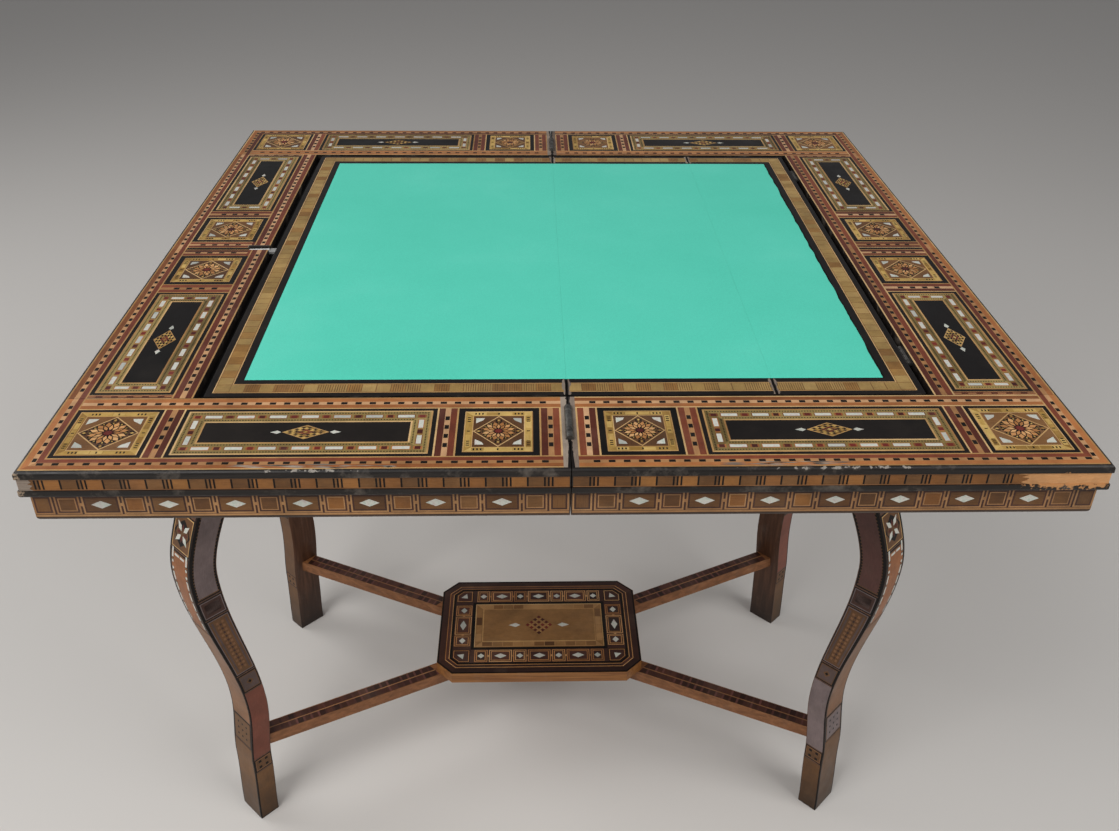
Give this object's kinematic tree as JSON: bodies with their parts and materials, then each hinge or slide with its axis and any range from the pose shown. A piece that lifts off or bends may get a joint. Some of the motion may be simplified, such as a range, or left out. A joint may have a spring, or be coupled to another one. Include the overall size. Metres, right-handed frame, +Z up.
{
  "type": "games table",
  "caption": "Fold-over games table with a swivelling square top, baize playing boards over shallow wells, geometric wood inlay, sawn curved legs, crossed stretchers and a shelf.",
  "frame": {"origin": "on the floor under the middle of the open top", "axes": "+Z up, the seam between the leaves along Y, -Y is the front, the pivoted leaf at -X"},
  "size_m": [0.9, 0.9, 0.7471],
  "materials": {
    "inlaid_wood": "varnished inlay",
    "leg_wood": "varnished inlay",
    "frame_wood": "plain sawn",
    "stretcher_wood": "varnished",
    "blackened_wood": "black stain",
    "green_baize": "felted wool",
    "hinge_steel": "dull",
    "bolt_steel": "dull"
  },
  "bodies": {
    "base": {"leg_front_left": "leg_wood", "leg_front_right": "leg_wood", "leg_rear_left": "leg_wood", "leg_rear_right": "leg_wood", "rail_front": "frame_wood", "rail_rear": "frame_wood", "rail_left": "frame_wood", "rail_right": "frame_wood", "rail_dowels": "frame_wood", "pivot_bearer": "frame_wood", "stretcher_rising": "stretcher_wood", "stretcher_falling": "stretcher_wood", "centre_shelf": "inlaid_wood", "shelf_screws": "hinge_steel"},
    "left_leaf": {"left_border_front": "inlaid_wood", "left_border_rear": "inlaid_wood", "left_border_outer": "inlaid_wood", "left_apron_front": "inlaid_wood", "left_apron_rear": "inlaid_wood", "left_apron_outer": "inlaid_wood", "left_bottom_board": "frame_wood", "left_seam_wall": "blackened_wood", "left_well_wall_front": "blackened_wood", "left_well_wall_rear": "blackened_wood", "left_well_wall_outer": "blackened_wood", "front_hinge_left_plate": "hinge_steel", "rear_hinge_left_plate": "hinge_steel", "left_hinge_screws": "hinge_steel", "front_hinge_pin": "hinge_steel", "rear_hinge_pin": "hinge_steel", "pivot_bolt": "bolt_steel", "pivot_washer": "bolt_steel", "pivot_nut": "bolt_steel"},
    "right_leaf": {"right_border_front": "inlaid_wood", "right_border_rear": "inlaid_wood", "right_border_outer": "inlaid_wood", "right_apron_front": "inlaid_wood", "right_apron_rear": "inlaid_wood", "right_apron_outer": "inlaid_wood", "right_bottom_board": "frame_wood", "right_seam_wall": "blackened_wood", "right_well_wall_front": "blackened_wood", "right_well_wall_rear": "blackened_wood", "right_well_wall_outer": "blackened_wood", "front_hinge_right_plate": "hinge_steel", "rear_hinge_right_plate": "hinge_steel", "right_hinge_screws": "hinge_steel", "right_board_wide": "inlaid_wood", "right_board_narrow": "inlaid_wood", "right_baize_wide": "green_baize", "right_baize_narrow": "green_baize", "board_hinge_fixed_plates": "hinge_steel", "board_hinge_moving_plates": "hinge_steel", "board_hinge_pins": "hinge_steel", "board_hinge_screws": "hinge_steel"},
    "lift_board": {"left_board": "inlaid_wood", "left_baize": "green_baize"},
    "catch": {"board_catch": "hinge_steel"}
  },
  "joints": [
    {"name": "top_swivel", "type": "hinge", "parent": "base", "child": "left_leaf", "pos_m": [-0.1235, -0.1015, 0.6895], "axis": [0, 0, 1], "range_deg": [-90, 0]},
    {"name": "leaf_fold", "type": "hinge", "parent": "left_leaf", "child": "right_leaf", "pos_m": [0, 0, 0.7436], "axis": [0, -1, 0], "range_deg": [0, 180]},
    {"name": "board_lift", "type": "hinge", "parent": "left_leaf", "child": "lift_board", "pos_m": [0, 0, 0.7436], "axis": [0, 1, 0], "range_deg": [0, 180]},
    {"name": "catch_slide", "type": "slide", "parent": "left_leaf", "child": "catch", "axis": [1, 0, 0], "range_m": [0, 0.006]}
  ]
}
